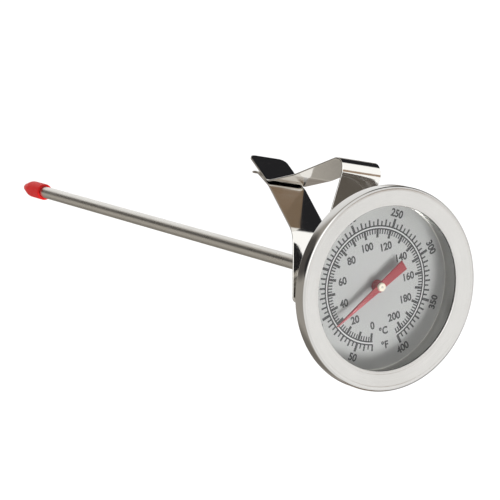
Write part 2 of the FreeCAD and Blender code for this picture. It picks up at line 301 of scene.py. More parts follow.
step_outside = SEAT_BORE + SHEET
seat = DIAL_LOW.z
flange_back = CUP_HIGH.z - SHEET
case_cup = turned_mesh("case_cup_shell", rounded([
    (NECK_RADIUS, 0.0, 0.0), (step_outside, 0.0, PRESS_BEND),
    (step_outside, seat - SHEET, TIGHT_BEND), (CUP_RADIUS, seat - SHEET, PRESS_BEND),
    (CUP_RADIUS, flange_back, TIGHT_BEND), (FLANGE_RADIUS, flange_back, 0.0),
    (FLANGE_RADIUS, CUP_HIGH.z, 0.0), (CUP_RADIUS - SHEET, CUP_HIGH.z, PRESS_BEND),
    (CUP_RADIUS - SHEET, seat, 0.0), (SEAT_BORE, seat, PRESS_BEND),
    (SEAT_BORE, SHEET, TIGHT_BEND), (NECK_RADIUS, SHEET, 0.0)]))
CASE_STEEL = make_pressed_steel(
    "case_steel", (0.66, 0.65, 0.63), (0.52, 0.51, 0.49), 0.24, 0.42, 5.0, 0.004 * MM)
case_cup.data.materials.append(CASE_STEEL)
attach(case_cup, "case")
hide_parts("case_cup")

# ---------------------------------------------------------------------------------------------
# Stem collar and its washer. A turned steel collar is pushed through the case's back and swaged
# over a plain washer inside; the stem is soldered in its bore.


def give_material(node, material):
    """A carried-over CAD piece keeps its mesh and takes a material of its own."""
    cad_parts[node].data.materials.clear()
    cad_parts[node].data.materials.append(material)


give_material("stem_collar", CASE_STEEL)
give_material("lock_washer", CASE_STEEL)

# ---------------------------------------------------------------------------------------------
# Stem. Drawn stainless tube, polished lengthwise, with a welded plug that closes its end.

STEM_RADIUS = 1.9 * MM
STEM_BORE = 1.65 * MM
TUBE_LOW, TUBE_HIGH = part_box("stem_tube")
SLIM_SEGMENTS = 96


def make_drawn_lines():
    """Long faint lines along the stem, as drawing and polishing leave them."""
    tree, source, sink = new_group("drawn_lines", "Lines", Lines_per_mm=5.0, Stretch=0.02)
    place = tree.nodes.new("ShaderNodeTexCoord")
    scale = tree.nodes.new("ShaderNodeCombineXYZ")
    fine = math_node(tree, "MULTIPLY", source.outputs["Lines per mm"], 1.0 / MM)
    link(tree, fine, scale.inputs["X"])
    link(tree, fine, scale.inputs["Y"])
    link(tree, math_node(tree, "MULTIPLY", fine, source.outputs["Stretch"]), scale.inputs["Z"])
    product = tree.nodes.new("ShaderNodeVectorMath")
    product.operation = "MULTIPLY"
    link(tree, place.outputs["Object"], product.inputs[0])
    link(tree, scale.outputs[0], product.inputs[1])
    noise = tree.nodes.new("ShaderNodeTexNoise")
    noise.inputs["Scale"].default_value = 1.0
    noise.inputs["Detail"].default_value = 2.0
    link(tree, product.outputs[0], noise.inputs["Vector"])
    link(tree, noise.outputs["Fac"], sink.inputs["Lines"])
    return tree


DRAWN_LINES = make_drawn_lines()


def make_stem_steel():
    material, tree, shader = new_material("stem_steel", (0.62, 0.59, 0.54), 1.0, 0.2)
    lines = place_group(tree, DRAWN_LINES)
    smudge = place_group(tree, HANDLING, Size_mm=6.0)
    colour = tint(tree, lines, (0.58, 0.565, 0.54), (0.68, 0.665, 0.64))
    link(tree, colour, shader.inputs["Base Color"])
    link(tree, spread(tree, smudge, 0.26, 0.33), shader.inputs["Roughness"])
    raise_bump(tree, shader, lines, 0.002 * MM)
    return material


STEM_STEEL = make_stem_steel()
stem = turned_mesh("stem_skin", rounded([
    (STEM_BORE, TUBE_LOW.z, 0.0), (STEM_RADIUS, TUBE_LOW.z, 0.0),
    (STEM_RADIUS, TUBE_HIGH.z, 0.05 * MM), (STEM_BORE, TUBE_HIGH.z, 0.0)]), SLIM_SEGMENTS)
stem.data.materials.append(STEM_STEEL)
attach(stem, "case")
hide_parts("stem_tube")
give_material("tip_plug", STEM_STEEL)

# ---------------------------------------------------------------------------------------------
# Bimetal coil. A strip of two metals rolled together and wound into a long helix; its foot is
# welded to a post on the plug and its head to the shaft's brass collar, so it twists as it warms.

COIL_LOW, COIL_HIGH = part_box("bimetal_coil")
COIL_RADIUS = 1.22 * MM
COIL_TURNS = 19.0
STRIP_WIDTH = 1.3 * MM
STRIP_SHEET = 0.22 * MM


def new_geometry_tree(name, kinds):
    """A geometry tree with named inputs and a material: the tree and its input node."""
    tree = bpy.data.node_groups.new(name, "GeometryNodeTree")
    for label, kind in kinds.items():
        tree.interface.new_socket(label, in_out="INPUT", socket_type="NodeSocket" + kind)
    tree.interface.new_socket("Material", in_out="INPUT", socket_type="NodeSocketMaterial")
    tree.interface.new_socket("Geometry", in_out="OUTPUT", socket_type="NodeSocketGeometry")
    return tree, tree.nodes.new("NodeGroupInput")


def close_geometry_tree(tree, source, geometry):
    """End a geometry tree: its copies made real and its material set."""
    real = tree.nodes.new("GeometryNodeRealizeInstances")
    link(tree, geometry, real.inputs[0])
    painted = tree.nodes.new("GeometryNodeSetMaterial")
    link(tree, real.outputs[0], painted.inputs["Geometry"])
    link(tree, source.outputs["Material"], painted.inputs["Material"])
    sink = tree.nodes.new("NodeGroupOutput")
    link(tree, painted.outputs[0], sink.inputs[0])
    return tree


def make_coil_tree():
    """Geometry nodes: a helix of given radius, turns and height with a flat strip along it."""
    tree, source = new_geometry_tree("wound_strip", dict.fromkeys(
        ("Radius", "Turns", "Height", "Strip width", "Strip thickness"), "Float"))
    spiral = tree.nodes.new("GeometryNodeCurveSpiral")
    spiral.inputs["Resolution"].default_value = 32
    link(tree, source.outputs["Turns"], spiral.inputs["Rotations"])
    link(tree, source.outputs["Radius"], spiral.inputs["Start Radius"])
    link(tree, source.outputs["Radius"], spiral.inputs["End Radius"])
    link(tree, source.outputs["Height"], spiral.inputs["Height"])
    section = tree.nodes.new("GeometryNodeCurvePrimitiveQuadrilateral")
    link(tree, source.outputs["Strip thickness"], section.inputs["Width"])
    link(tree, source.outputs["Strip width"], section.inputs["Height"])
    upright = tree.nodes.new("GeometryNodeSetCurveNormal")
    upright.mode = "Z_UP"
    link(tree, spiral.outputs[0], upright.inputs[0])
    sweep = tree.nodes.new("GeometryNodeCurveToMesh")
    sweep.inputs["Fill Caps"].default_value = True
    link(tree, upright.outputs[0], sweep.inputs["Curve"])
    link(tree, section.outputs[0], sweep.inputs["Profile Curve"])
    return close_geometry_tree(tree, source, sweep.outputs[0])


def grown(name, tree, **values):
    """Run a geometry tree with its inputs set by name and keep the result as a plain mesh."""
    seed = bpy.data.objects.new(name + "_seed", bpy.data.meshes.new(name + "_seed"))
    bpy.context.scene.collection.objects.link(seed)
    modifier = seed.modifiers.new("grow", "NODES")
    modifier.node_group = tree
    for item in tree.interface.items_tree:
        key = item.name.replace(" ", "_")
        if item.in_out == "INPUT" and key in values:
            modifier[item.identifier] = values[key]
    bpy.context.view_layer.update()
    evaluated = seed.evaluated_get(bpy.context.evaluated_depsgraph_get())
    data = bpy.data.meshes.new_from_object(evaluated)
    data.name = name
    bpy.data.objects.remove(seed)
    return data


ROLLED_STRIP = masked_material(
    "coil_bimetal", (0.66, 0.60, 0.50), 1.0, 0.3, DRAWN_LINES,
    ((0.55, 0.47, 0.36), (0.72, 0.66, 0.56), 0.25, 0.4), Lines_per_mm=9.0, Stretch=0.3)
coil_mesh = grown("bimetal_helix", make_coil_tree(), Radius=COIL_RADIUS, Turns=COIL_TURNS,
                  Height=COIL_HIGH.z - COIL_LOW.z - STRIP_WIDTH, Strip_width=STRIP_WIDTH,
                  Strip_thickness=STRIP_SHEET, Material=ROLLED_STRIP)
coil_mesh.transform(Matrix.Translation((0.0, 0.0, COIL_LOW.z + STRIP_WIDTH / 2)))
coil = finished("bimetal_helix", coil_mesh)
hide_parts("bimetal_coil")
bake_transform(coil)

# ---------------------------------------------------------------------------------------------
# Post, collar, shaft and guide bushes. Turned brass and drawn steel wire, hidden in the stem.

TURNED_BRASS = masked_material(
    "turned_brass", (0.72, 0.53, 0.25), 1.0, 0.28, ROUND_BRUSHING,
    ((0.62, 0.43, 0.18), (0.78, 0.60, 0.32), 0.2, 0.36), Lines_per_mm=8.0)
WIRE_STEEL = masked_material(
    "wire_steel", (0.45, 0.43, 0.40), 1.0, 0.3, DRAWN_LINES,
    ((0.36, 0.33, 0.30), (0.52, 0.50, 0.47), 0.22, 0.38), Lines_per_mm=10.0)
give_material("coil_anchor", WIRE_STEEL)
give_material("pointer_shaft", WIRE_STEEL)
for node in ("coil_collar", "guide_bush_lower", "guide_bush_middle", "guide_bush_upper"):
    give_material(node, TURNED_BRASS)

# ---------------------------------------------------------------------------------------------
# Spacer ring. A strip of bright polished steel rolled to a ring that stands round the dial's
# edge and carries the glass; it is the shiny wall of the recess.

SPACER_LOW, SPACER_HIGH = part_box("spacer_ring")
SPACER_OUTER = 22.06 * MM
SPACER_INNER = 21.76 * MM
SPACER_EASE = 0.08 * MM
BRIGHT_STEEL = masked_material(
    "spacer_bright", (0.74, 0.73, 0.71), 1.0, 0.3, ROUND_BRUSHING,
    ((0.66, 0.65, 0.63), (0.80, 0.79, 0.77), 0.26, 0.36), relief=0.004 * MM,
    Lines_per_mm=3.0, Arc_length=1.5)
spacer = turned_mesh("spacer_wall", rounded([
    (radius, height, SPACER_EASE) for radius, height in (
        (SPACER_INNER, SPACER_LOW.z), (SPACER_OUTER, SPACER_LOW.z),
        (SPACER_OUTER, SPACER_HIGH.z), (SPACER_INNER, SPACER_HIGH.z))]))
spacer.data.materials.append(BRIGHT_STEEL)
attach(spacer, "case")
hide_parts("spacer_ring")

# ---------------------------------------------------------------------------------------------
# Dial. A disc of silver-lacquered aluminium with a fine grain, its rim eased by the punch.

DIAL_RADIUS = 21.36 * MM
DIAL_HOLE = 0.9 * MM
DIAL_FACE = DIAL_HIGH.z
DIAL_RIM_EASE = 0.12 * MM
DIAL_HOLE_EASE = 0.08 * MM


def make_grain():
    """Fine cloudy speckle, as lacquer, paint or moulding shows up close."""
    tree, source, sink = new_group("fine_grain", "Grain", Grains_per_mm=3.0, Contrast=1.0)
    place = tree.nodes.new("ShaderNodeTexCoord")
    noise = tree.nodes.new("ShaderNodeTexNoise")
    noise.inputs["Detail"].default_value = 4.0
    noise.inputs["Roughness"].default_value = 0.7
    link(tree, place.outputs["Object"], noise.inputs["Vector"])
    scale = math_node(tree, "MULTIPLY", source.outputs["Grains per mm"], 1.0 / MM)
    link(tree, scale, noise.inputs["Scale"])
    centred = math_node(tree, "SUBTRACT", noise.outputs["Fac"], 0.5)
    wide = math_node(tree, "MULTIPLY_ADD", centred, source.outputs["Contrast"], 0.5)
    link(tree, wide, sink.inputs["Grain"])
    return tree


FINE_GRAIN = make_grain()

DIAL_SILVER = masked_material(
    "dial_silver", (0.37, 0.37, 0.365), 0.0, 0.5, FINE_GRAIN,
    ((0.32, 0.32, 0.315), (0.42, 0.42, 0.415), 0.36, 0.5), relief=0.006 * MM,
    Grains_per_mm=3.0, Contrast=1.6)
dial = turned_mesh("dial_disc", rounded([
    (DIAL_HOLE, DIAL_LOW.z, 0.0), (DIAL_RADIUS, DIAL_LOW.z, 0.0),
    (DIAL_RADIUS, DIAL_FACE, DIAL_RIM_EASE), (DIAL_HOLE, DIAL_FACE, DIAL_HOLE_EASE)]))
dial.data.materials.append(DIAL_SILVER)
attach(dial, "case")
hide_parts("dial_plate")

# ---------------------------------------------------------------------------------------------
# Printed scales. Black ink, laid on by pad: degrees Celsius inside a double ring, degrees
# Fahrenheit outside it, every line and figure a film of its own; the pale band between the
# two rings is a painted highlight.

SCALE_START = 16.0
DEGREES_PER_CELSIUS = 1.605
SIX_OCLOCK = 270.0
FREEZING = 32.0
FAHRENHEIT_STEP = 5.0 / 9.0
INK = 0.02 * MM
RING_INNER = 14.28 * MM
RING_OUTER = 15.02 * MM
RING_LINE = 0.36 * MM
RING_GLEAM = 0.18 * MM
RING_STEPS = 240
RING_OVERRUN = 0.4
CELSIUS_OUTER = 14.3
FAHRENHEIT_INNER = 15.0


def celsius_angle(reading):
    """Where a temperature stands on the dial, counter-clockwise from three o'clock, in degrees."""
    return SIX_OCLOCK - SCALE_START - DEGREES_PER_CELSIUS * reading


def fahrenheit_angle(reading):
    return celsius_angle((reading - FREEZING) * FAHRENHEIT_STEP)


def make_tick_tree():
    """Geometry nodes: radial marks at an even step from a start angle, every so many left out."""
    kinds = dict.fromkeys(("Count", "Leave out every", "First left out"), "Int")
    kinds.update(dict.fromkeys(
        ("Start", "Step", "Inner", "Outer", "Width", "Height", "Thickness"), "Float"))
    tree, source = new_geometry_tree("scale_marks", kinds)
    index = tree.nodes.new("GeometryNodeInputIndex").outputs[0]
    angle = math_node(tree, "MULTIPLY_ADD", index, source.outputs["Step"], source.outputs["Start"])
    reach = math_node(tree, "ADD", source.outputs["Inner"], source.outputs["Outer"])
    middle = math_node(tree, "MULTIPLY", reach, 0.5)
    place = tree.nodes.new("ShaderNodeCombineXYZ")
    for axis, part in (("X", "COSINE"), ("Y", "SINE")):
        along = math_node(tree, "MULTIPLY", middle, math_node(tree, part, angle))
        link(tree, along, place.inputs[axis])
    link(tree, source.outputs["Height"], place.inputs["Z"])
    points = tree.nodes.new("GeometryNodePoints")
    link(tree, source.outputs["Count"], points.inputs["Count"])
    link(tree, place.outputs[0], points.inputs["Position"])
    mark = tree.nodes.new("GeometryNodeMeshCube")
    size = tree.nodes.new("ShaderNodeCombineXYZ")
    span = math_node(tree, "SUBTRACT", source.outputs["Outer"], source.outputs["Inner"])
    link(tree, span, size.inputs["X"])
    link(tree, source.outputs["Width"], size.inputs["Y"])
    link(tree, source.outputs["Thickness"], size.inputs["Z"])
    link(tree, size.outputs[0], mark.inputs["Size"])
    turn = tree.nodes.new("ShaderNodeCombineXYZ")
    link(tree, angle, turn.inputs["Z"])
    number = math_node(tree, "SUBTRACT", index, source.outputs["First left out"])
    rest = math_node(tree, "FLOORED_MODULO", number, source.outputs["Leave out every"])
    kept = math_node(tree, "GREATER_THAN", rest, 0.5)
    copies = tree.nodes.new("GeometryNodeInstanceOnPoints")
    link(tree, points.outputs[0], copies.inputs["Points"])
    link(tree, mark.outputs["Mesh"], copies.inputs["Instance"])
    link(tree, turn.outputs[0], copies.inputs["Rotation"])
    link(tree, kept, copies.inputs["Selection"])
    return close_geometry_tree(tree, source, copies.outputs[0])


INK_BLACK = masked_material(
    "scale_ink", (0.008, 0.008, 0.009), 0.0, 0.6, FINE_GRAIN,
    ((0.005, 0.005, 0.006), (0.016, 0.016, 0.017), 0.45, 0.65), Grains_per_mm=5.0, Contrast=1.4)
TICK_TREE = make_tick_tree()
NEVER = 9999


def add_marks(name, count, start, step, inner, outer, width, every=NEVER, first_out=-1):
    """One family of marks: angles in degrees, sizes in millimetres."""
    data = grown(name, TICK_TREE, Count=count, Start=math.radians(start), Step=math.radians(step),
                 Inner=inner * MM, Outer=outer * MM, Width=width * MM, Thickness=INK,
                 Height=DIAL_FACE + INK / 2, Material=INK_BLACK, Leave_out_every=every,
                 First_left_out=first_out)
    piece = finished(name, data)
    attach(piece, "case")


two_celsius = -DEGREES_PER_CELSIUS * 2
ten_celsius = -DEGREES_PER_CELSIUS * 10
five_fahrenheit = -DEGREES_PER_CELSIUS * FAHRENHEIT_STEP * 5
fifty_fahrenheit = five_fahrenheit * 10
add_marks("celsius_tens", 21, celsius_angle(0), ten_celsius, 12.1, CELSIUS_OUTER, 0.66)
add_marks("celsius_twos", 103, celsius_angle(0), two_celsius, 13.0, CELSIUS_OUTER, 0.34, 5, 0)
add_marks("fahrenheit_fives", 75, fahrenheit_angle(30), five_fahrenheit,
          FAHRENHEIT_INNER, 16.25, 0.4, 2, 0)
add_marks("fahrenheit_tens", 38, fahrenheit_angle(30), five_fahrenheit * 2,
          FAHRENHEIT_INNER, 16.7, 0.46, 5, 2)
add_marks("fahrenheit_fifties", 8, fahrenheit_angle(50), fifty_fahrenheit,
          FAHRENHEIT_INNER, 17.3, 0.7)


def add_arc_line(name, radius, width, start, end, colour):
    """A printed arc from one angle to another, a flat closed film."""
    mesh = bmesh.new()
    rows = []
    for step in range(RING_STEPS + 1):
        angle = math.radians(start + (end - start) * step / RING_STEPS)
        corners = []
        for reach in (radius - width / 2, radius + width / 2):
            for height in (DIAL_FACE, DIAL_FACE + INK):
                corners.append(mesh.verts.new(
                    (reach * math.cos(angle), reach * math.sin(angle), height)))
        rows.append(corners)
    for row, following in zip(rows, rows[1:]):
        for first, second in ((0, 1), (1, 3), (3, 2), (2, 0)):
            mesh.faces.new((row[first], row[second], following[second], following[first]))
    mesh.faces.new([rows[0][number] for number in (0, 1, 3, 2)])
    mesh.faces.new([rows[-1][number] for number in (2, 3, 1, 0)])
    bmesh.ops.recalc_face_normals(mesh, faces=mesh.faces)
    piece = finished(name, settled(name, mesh))
    piece.data.materials.append(colour)
    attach(piece, "case")


# A pale band between the two black rings, brighter than the dial around it: a painted highlight,
# the gleam of the silver between the rings laid on as a film.
def make_white_ink():
    material, tree, shader = new_material("ring_white", (0.85, 0.85, 0.84), 0.0, 0.5)
    grain = place_group(tree, FINE_GRAIN, Grains_per_mm=5.0, Contrast=1.2)
    colour = tint(tree, grain, (0.52, 0.52, 0.515), (0.62, 0.62, 0.615))
    link(tree, colour, shader.inputs["Base Color"])
    return material


scale_first = fahrenheit_angle(30)
scale_last = fahrenheit_angle(400) - RING_OVERRUN
add_arc_line("ring_inner", RING_INNER, RING_LINE, scale_first, scale_last, INK_BLACK)
add_arc_line("ring_outer", RING_OUTER, RING_LINE, scale_first, scale_last, INK_BLACK)
# The pale band between the rings is a painted highlight.
add_arc_line("ring_between", (RING_INNER + RING_OUTER) / 2, RING_GLEAM,
             scale_first, scale_last, make_white_ink())


def add_figures(name, labels, height):
    """Printed figures: each label is (text, radius, angle, turn) with its centre on the radius."""
    mesh = bmesh.new()
    for text, reach, angle, turn in labels:
        curve = bpy.data.curves.new(name, "FONT")
        curve.body = text
        curve.size = 1.0
        curve.extrude = 0.5
        curve.offset = FIGURE_WEIGHT
        curve.bevel_depth = FIGURE_SWELL
        curve.bevel_resolution = 0
        holder = bpy.data.objects.new(name, curve)
        bpy.context.scene.collection.objects.link(holder)
        bpy.context.view_layer.update()
        glyphs = bpy.data.meshes.new_from_object(
            holder.evaluated_get(bpy.context.evaluated_depsgraph_get()))
        bpy.data.objects.remove(holder)
        low = [min(vertex.co[axis] for vertex in glyphs.vertices) for axis in range(2)]
        high = [max(vertex.co[axis] for vertex in glyphs.vertices) for axis in range(2)]
        middle = Vector(((low[0] + high[0]) / 2, (low[1] + high[1]) / 2, 0.0))
        tall = height / (high[1] - low[1])
        wide = tall * FIGURE_SQUEEZE
        bearing = math.radians(angle)
        spot = Vector((reach * math.cos(bearing), reach * math.sin(bearing), DIAL_FACE + INK / 2))
        place = (Matrix.Translation(spot) @ Matrix.Rotation(math.radians(turn), 4, "Z")
                 @ Matrix.Diagonal((wide, tall, INK, 1.0)) @ Matrix.Translation(-middle))
        glyphs.transform(place)
        mesh.from_mesh(glyphs)
        bpy.data.meshes.remove(glyphs)
    piece = finished(name, settled(name, mesh))
    piece.data.materials.clear()
    piece.data.materials.append(INK_BLACK)
    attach(piece, "case")


FIGURE_SQUEEZE = 0.92
FIGURE_WEIGHT = 0.015
FIGURE_SWELL = 0.02
CELSIUS_REACH = 10.15 * MM
FAHRENHEIT_REACH = 18.75 * MM
CELSIUS_SIGN_REACH = 12.0 * MM
FAHRENHEIT_SIGN_REACH = 15.7 * MM
FIGURE_HEIGHT = 2.05 * MM
SIGN_HEIGHT = 2.1 * MM
UPRIGHT_FROM = -5.0
UPRIGHT_TO = 185.0
celsius_labels = [(str(reading), CELSIUS_REACH, celsius_angle(reading), 0.0)
                  for reading in range(0, 201, 20)]
add_figures("celsius_figures", celsius_labels, FIGURE_HEIGHT)
fahrenheit_labels = []
for reading in range(50, 401, 50):
    angle = fahrenheit_angle(reading)
    upright = UPRIGHT_FROM < angle < UPRIGHT_TO
    turn = angle - 90.0 if upright else angle + 90.0
    fahrenheit_labels.append((str(reading), FAHRENHEIT_REACH, angle, turn))
add_figures("fahrenheit_figures", fahrenheit_labels, FIGURE_HEIGHT)
add_figures("celsius_sign", [("°C", CELSIUS_SIGN_REACH, SIX_OCLOCK + 1.0, 0.0)], SIGN_HEIGHT)
add_figures("fahrenheit_sign", [("°F", FAHRENHEIT_SIGN_REACH, SIX_OCLOCK, 0.0)], SIGN_HEIGHT)

# ---------------------------------------------------------------------------------------------
# Pointer. Thin aluminium stamping, sprayed red, on a red boss; a cream hub rivets it to the
# shaft, whose end shows in the middle.

POINTER_LOW, POINTER_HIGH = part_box("pointer")
BOSS_LOW, BOSS_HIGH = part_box("pointer_boss")
HUB_LOW, HUB_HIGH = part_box("pointer_hub")
READING = 31.4
TIP_REACH = 15.5 * MM
WAIST_REACH = 1.3 * MM
TAIL_REACH = 8.7 * MM
TIP_HALF = 0.16 * MM
WAIST_HALF = 0.875 * MM
ROOT_HALF = 1.025 * MM
TAIL_HALF = 1.375 * MM
SHAFT_RADIUS = 0.3 * MM
BOSS_RADIUS = 1.55 * MM
BOSS_EASE = 0.1 * MM
BOSS_SEGMENTS = 64
BLADE_EASE = 0.06 * MM
HUB_RADIUS = 1.08 * MM
HUB_CROWN = 0.24 * MM
DIMPLE_RADIUS = 0.5 * MM
DIMPLE_DEPTH = 0.12 * MM
RED_PAINT = masked_material(
    "pointer_red", (0.24, 0.018, 0.026), 0.0, 0.42, FINE_GRAIN,
    ((0.20, 0.013, 0.02), (0.27, 0.024, 0.034), 0.36, 0.5), relief=0.003 * MM,
    Grains_per_mm=6.0, Contrast=1.2)
HUB_CREAM = masked_material(
    "hub_cream", (0.78, 0.72, 0.58), 0.0, 0.35, FINE_GRAIN,
    ((0.70, 0.63, 0.50), (0.84, 0.79, 0.67), 0.3, 0.42), Grains_per_mm=5.0, Contrast=1.2)


def make_pointer_blade():
    """The blade's outline raised to its thickness, turned to the reading, with eased edges."""
    outline = [(TIP_REACH, -TIP_HALF), (TIP_REACH, TIP_HALF), (WAIST_REACH, WAIST_HALF),
               (0.0, ROOT_HALF), (-WAIST_REACH, ROOT_HALF), (-TAIL_REACH, TAIL_HALF),
               (-TAIL_REACH, -TAIL_HALF), (-WAIST_REACH, -ROOT_HALF), (0.0, -ROOT_HALF),
               (WAIST_REACH, -WAIST_HALF)]
    mesh = bmesh.new()
    floor = mesh.faces.new([mesh.verts.new((x, y, POINTER_LOW.z)) for x, y in outline])
    raised = bmesh.ops.extrude_face_region(mesh, geom=[floor])
    top = [item for item in raised["geom"] if isinstance(item, bmesh.types.BMVert)]
    bmesh.ops.translate(mesh, verts=top, vec=(0, 0, POINTER_HIGH.z - POINTER_LOW.z))
    bmesh.ops.recalc_face_normals(mesh, faces=mesh.faces)
    rims = [edge for edge in mesh.edges if edge.calc_face_angle() > 1.0]
    bmesh.ops.bevel(mesh, geom=rims, offset=BLADE_EASE, segments=3, profile=0.5, affect="EDGES")
    bmesh.ops.rotate(mesh, verts=mesh.verts, cent=(0, 0, 0),
                     matrix=Matrix.Rotation(math.radians(celsius_angle(READING)), 3, "Z"))
    return finished("pointer_blade", settled("pointer_blade", mesh))


blade = make_pointer_blade()
boss = turned_mesh("pointer_boss_body", rounded([
    (SHAFT_RADIUS, BOSS_LOW.z, 0.0), (BOSS_RADIUS, BOSS_LOW.z, BOSS_EASE),
    (BOSS_RADIUS, BOSS_HIGH.z, BOSS_EASE), (SHAFT_RADIUS, BOSS_HIGH.z, 0.0)]), BOSS_SEGMENTS)
hub = turned_mesh("pointer_hub_cap", rounded([
    (SHAFT_RADIUS, HUB_LOW.z, 0.0), (HUB_RADIUS, HUB_LOW.z, 0.0),
    (HUB_RADIUS, HUB_HIGH.z, HUB_CROWN), (DIMPLE_RADIUS, HUB_HIGH.z, 0.1 * MM),
    (SHAFT_RADIUS, HUB_HIGH.z - DIMPLE_DEPTH, 0.0)]), SLIM_SEGMENTS)
for piece, node, slot, material in (
        (blade, "pointer", "pointer_red", RED_PAINT),
        (boss, "pointer_boss", "pointer_red", RED_PAINT),
        (hub, "pointer_hub", "hub_cream", HUB_CREAM)):
    piece.data.materials.append(material)
    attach(piece, "pointer")
    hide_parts(node)

# ---------------------------------------------------------------------------------------------
# Seals and glass. A black gasket lies between the bezel and the flat glass, and shows as a thin
# dark line under the bezel's opening, which stands in partly for painted shade under the
# bezel's hem; a second seal lies behind the case's flange.


def make_seal_rubber():
    material, tree, shader = new_material("seal_rubber", (0.025, 0.025, 0.025), 0.0, 0.6)
    grain = place_group(tree, FINE_GRAIN, Grains_per_mm=4.0, Contrast=1.5)
    link(tree, spread(tree, grain, 0.5, 0.75), shader.inputs["Roughness"])
    raise_bump(tree, shader, grain, 0.01 * MM)
    return material


def make_clear_glass():
    material, tree, shader = new_material("lens_glass", (0.98, 0.99, 0.985), 0.0, 0.01)
    shader.inputs["Transmission Weight"].default_value = 1.0
    shader.inputs["IOR"].default_value = 1.3
    smudge = place_group(tree, HANDLING, Size_mm=14.0)
    link(tree, spread(tree, smudge, 0.0, 0.03), shader.inputs["Roughness"])
    return material


SEAL_RUBBER = make_seal_rubber()
# The gasket's black edge under the bezel's opening is partly painted shade: the shade under the
# bezel's hem.
give_material("lens_gasket", SEAL_RUBBER)
give_material("case_seal", SEAL_RUBBER)
give_material("lens_glass", make_clear_glass())
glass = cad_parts["lens_glass"]
glass.visible_shadow = False
glass.visible_diffuse = False

# ---------------------------------------------------------------------------------------------
# Bezel ring. Stainless sheet, pressed to a flat hem and a face that rises to a narrow crest,
# brushed in the lathe, polished on its side, and folded under the case's flange.

BEZEL_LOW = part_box("bezel_ring")[0]
GASKET_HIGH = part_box("lens_gasket")[1]
BEZEL_SHEET = 0.45 * MM
BEZEL_RADIUS = 25.7 * MM
OPENING_RADIUS = 20.7 * MM
HEM_RADIUS = 21.45 * MM
DISH = 0.97 * MM
LAND_RADIUS = 24.4 * MM
SHOULDER = 0.9
SIDE_RADIUS = 24.9 * MM
LIP_RADIUS = 22.95 * MM

hem_back = GASKET_HIGH.z
hem_front = hem_back + BEZEL_SHEET
fold_front = BEZEL_LOW.z + BEZEL_SHEET
inner_wall = BEZEL_RADIUS - BEZEL_SHEET
bezel = turned_mesh("bezel_shell", rounded([
    (radius, height, fillet * MM) for radius, height, fillet in (
        (OPENING_RADIUS, hem_front, 0.3), (HEM_RADIUS, hem_front, 0.6),
        (LAND_RADIUS, hem_front + DISH, 0.8), (BEZEL_RADIUS, hem_front + DISH, SHOULDER),
        (BEZEL_RADIUS, BEZEL_LOW.z, 0.4), (LIP_RADIUS, BEZEL_LOW.z, 0.15),
        (LIP_RADIUS, fold_front, 0.15), (inner_wall, fold_front, 0.1),
        (inner_wall, hem_back + DISH, 0.5), (LAND_RADIUS, hem_back + DISH, 0.8),
        (HEM_RADIUS, hem_back, 0.6), (OPENING_RADIUS, hem_back, 0.1))]))
bezel.data.materials.append(make_pressed_steel(
    "bezel_steel", (0.665, 0.655, 0.645), (0.565, 0.555, 0.545), 0.18, 0.28, 7.0, 0.002 * MM))
bezel.data.materials.append(make_pressed_steel(
    "bezel_side_steel", (0.60, 0.59, 0.58), (0.50, 0.49, 0.48), 0.07, 0.13, 7.0, 0.001 * MM))
for face in bezel.data.polygons:
    if math.hypot(face.center.x, face.center.y) > SIDE_RADIUS:
        face.material_index = 1
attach(bezel, "case")
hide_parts("bezel_ring")

# ---------------------------------------------------------------------------------------------
# Pot clip. One strip of bright spring steel, bent in a former: two legs with a hole each ride on
# the stem, and two lips meet to pinch a pot's rim. Its path, bends and spacing, and the
# heights they are built from, are in millimetres.

CLIP_WIDTH = 12.0 * MM
CLIP_SHEET = 0.4 * MM
CLIP_TURN = 22.2
CLIP_HOLE = 1.98 * MM
CLIP_CORNER = 2.0 * MM
FRONT_TOP = -17.4
FRONT_RISE = 0.2
CLIP_FOOT = -9.0
CLIP_CREST = 31.3
CLIP_PATH = [(21.4, -56.0), (21.95, -52.7), (19.0, -45.5), (8.1, -29.6), (CLIP_FOOT, -24.5),
             (CLIP_FOOT, FRONT_TOP + FRONT_RISE * CLIP_FOOT),
             (CLIP_CREST, FRONT_TOP + FRONT_RISE * CLIP_CREST),
             (23.1, -33.8), (19.9, -46.6), (25.8, -58.0)]
CLIP_BENDS = [3.0, 6.0, 8.0, 1.6, 1.6, 3.2, 14.0, 3.0]
CLIP_SPACING = 1.2
CLIP_EASE = 0.08 * MM
END_CUTS = 8
DEGREES_PER_STEP = 6
HOLES_FROM = -34.0 * MM
HOLES_TO = -12.0 * MM


def bent_path(path, bends, spacing):
    """Points along straight runs and tangent bends, evenly close, each with its direction."""
    corners = [Vector(point) for point in path]
    runs = [(end - start).normalized() for start, end in zip(corners, corners[1:])]
    stations = [(corners[0], runs[0])]
    for corner, before, after, radius in zip(corners[1:-1], runs, runs[1:], bends):
        swing = math.atan2(before.x * after.y - before.y * after.x, before.dot(after))
        side = math.copysign(1.0, swing)
        start = corner - before * radius * math.tan(abs(swing) / 2)
        centre = start + Vector((-before.y, before.x)) * side * radius
        here = stations[-1][0]
        gap = (start - here).length
        steps = max(1, round(gap / spacing))
        for step in range(1, steps + 1):
            stations.append((here.lerp(start, step / steps), before))
        steps = max(6, round(math.degrees(abs(swing)) / DEGREES_PER_STEP))
        for step in range(1, steps + 1):
            turn = swing * step / steps
            cosine, sine = math.cos(turn), math.sin(turn)
            arm = start - centre
            spot = centre + Vector((arm.x * cosine - arm.y * sine, arm.x * sine + arm.y * cosine))
            heading = Vector((before.x * cosine - before.y * sine,
                              before.x * sine + before.y * cosine))
            stations.append((spot, heading))
    here = stations[-1][0]
    steps = round((corners[-1] - here).length / spacing)
    for step in range(1, steps + 1):
        stations.append((here.lerp(corners[-1], step / steps), runs[-1]))
    return stations


